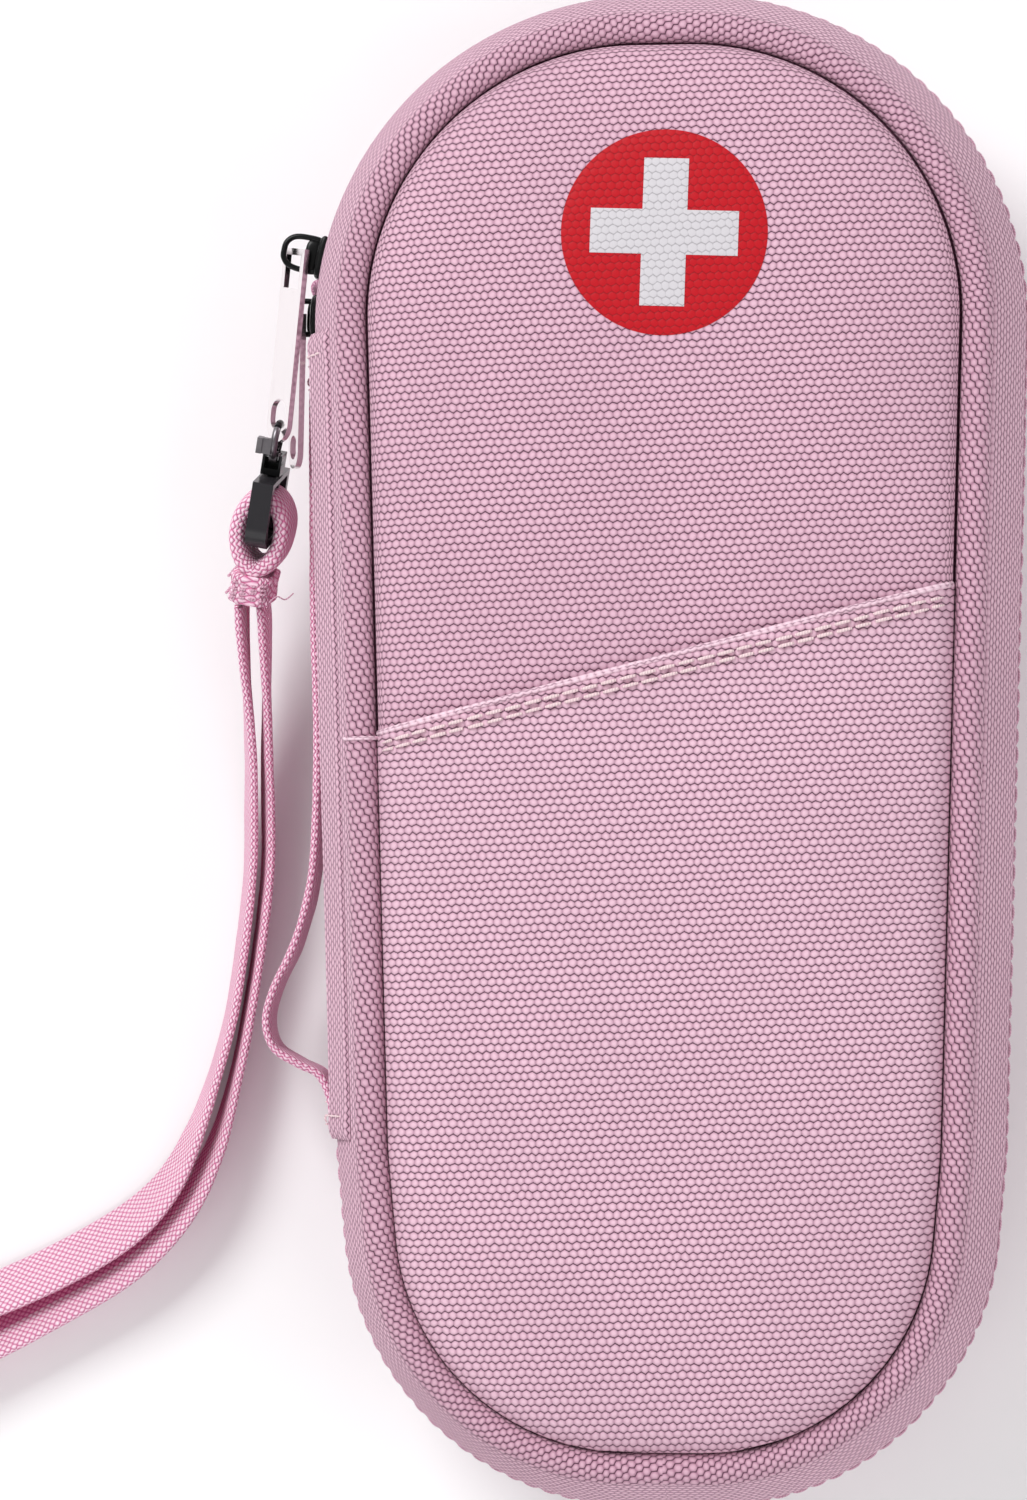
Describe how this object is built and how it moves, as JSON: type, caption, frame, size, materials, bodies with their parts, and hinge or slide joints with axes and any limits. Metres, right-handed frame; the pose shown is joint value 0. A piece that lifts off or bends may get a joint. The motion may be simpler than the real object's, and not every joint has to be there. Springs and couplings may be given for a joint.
{
  "type": "first aid kit case",
  "caption": "Zip-around padded fabric first aid case with slip pocket, side handle, two-slider zip and clip-on wrist strap.",
  "frame": {"origin": "middle of the flat back face, where the case lies on a table", "axes": "+Y along the long axis towards the wide end with the printed symbol, +X towards the side away from the handle, +Z out of the front face"},
  "size_m": [0.1891, 0.2244, 0.0585],
  "materials": {
    "shell_fabric": "coarse oxford weave",
    "piping_fabric": "coarse oxford weave over a cord",
    "foam": "closed-cell foam board",
    "lining": "smooth woven lining",
    "zip_tape": "woven tape",
    "zip_coil": "nylon coil",
    "webbing": "ribbed webbing",
    "thread": "sewing thread",
    "tab_fabric": "folded tape",
    "elastic": "elastic webbing",
    "mesh": "net",
    "print_red": "printed ink on weave",
    "print_pale": "printed ink on weave",
    "black_metal": "satin black",
    "nickel": "bright nickel",
    "spring_steel": "wire",
    "grey_metal": "satin grey",
    "black_plastic": "moulded"
  },
  "bodies": {
    "base": {"back_panel": "shell_fabric", "back_piping": "piping_fabric", "base_gusset": "shell_fabric", "base_foam": "foam", "base_lining": "lining", "base_zip_tape": "zip_tape", "base_zip_teeth": "zip_coil", "spine_leaf_base": "shell_fabric", "zip_end_tab": "tab_fabric", "zip_stop": "nickel", "loop_backing": "elastic", "elastic_loops": "elastic"},
    "lid": {"spine_leaf_lid": "shell_fabric", "front_panel": "shell_fabric", "front_piping": "piping_fabric", "lid_gusset": "shell_fabric", "lid_foam": "foam", "lid_lining": "lining", "lid_zip_tape": "zip_tape", "lid_zip_teeth": "zip_coil", "pocket_panel": "shell_fabric", "pocket_hem": "shell_fabric", "pocket_stitching": "thread", "emblem_disc": "print_red", "emblem_cross": "print_pale", "mesh_pocket": "mesh", "mesh_binding": "tab_fabric"},
    "handle": {"handle": "webbing", "handle_stitching": "thread"},
    "slider_a": {"slider_a": "black_metal"},
    "slider_b": {"slider_b": "black_metal"},
    "tab_a": {"pull_tab_a": "nickel"},
    "tab_b": {"pull_tab_b": "nickel"},
    "clasp": {"clasp_hook": "black_metal", "clasp_pin": "nickel", "clasp_spring": "spring_steel"},
    "trigger": {"clasp_trigger": "grey_metal"},
    "strap": {"clasp_ring": "black_plastic", "strap_wrap": "webbing", "strap_bartack": "webbing", "wrist_strap": "webbing"}
  },
  "joints": [
    {"name": "lid_hinge", "type": "hinge", "parent": "base", "child": "lid", "pos_m": [-0.0538, 0, 0.033], "axis": [0, -1, 0], "range_deg": [0, 100]},
    {"name": "zip_slider_a", "type": "hinge", "parent": "base", "child": "slider_a", "pos_m": [-0.0038, 0.063, 0.028], "axis": [0, 0, 1], "range_deg": [-78, 0]},
    {"name": "zip_slider_b", "type": "hinge", "parent": "base", "child": "slider_b", "pos_m": [-0.0038, 0.063, 0.028], "axis": [0, 0, 1], "range_deg": [-1.2, 0.3]},
    {"name": "pull_tab_a_swing", "type": "hinge", "parent": "slider_a", "child": "tab_a", "pos_m": [-0.05647, 0.07516, 0.0296], "axis": [0, 0, 1], "range_deg": [-60, 0.5]},
    {"name": "pull_tab_b_swing", "type": "hinge", "parent": "slider_b", "child": "tab_b", "pos_m": [-0.05678, 0.06578, 0.0244], "axis": [0, 0, 1], "range_deg": [-1, 2]},
    {"name": "clasp_turn", "type": "hinge", "parent": "tab_a", "child": "clasp", "pos_m": [-0.05939, 0.04947, 0.02688], "axis": [0, 0, 1], "range_deg": [-25, 0.5]},
    {"name": "clasp_trigger_press", "type": "hinge", "parent": "clasp", "child": "trigger", "pos_m": [-0.06037, 0.04446, 0.02644], "axis": [-0.9816, 0.1908, 0], "range_deg": [0, 3.5], "stiffness_Nm_per_rad": 0.02},
    {"name": "clasp_swivel", "type": "hinge", "parent": "clasp", "child": "strap", "pos_m": [-0.06123, 0.03998, 0.02429], "axis": [-0.1843, -0.9482, -0.2588], "range_deg": [-12, 9]},
    {"name": "handle_swing", "type": "hinge", "parent": "base", "child": "handle", "pos_m": [-0.0557, 0, 0.016], "axis": [0, -1, 0], "range_deg": [-3, 8]}
  ]
}
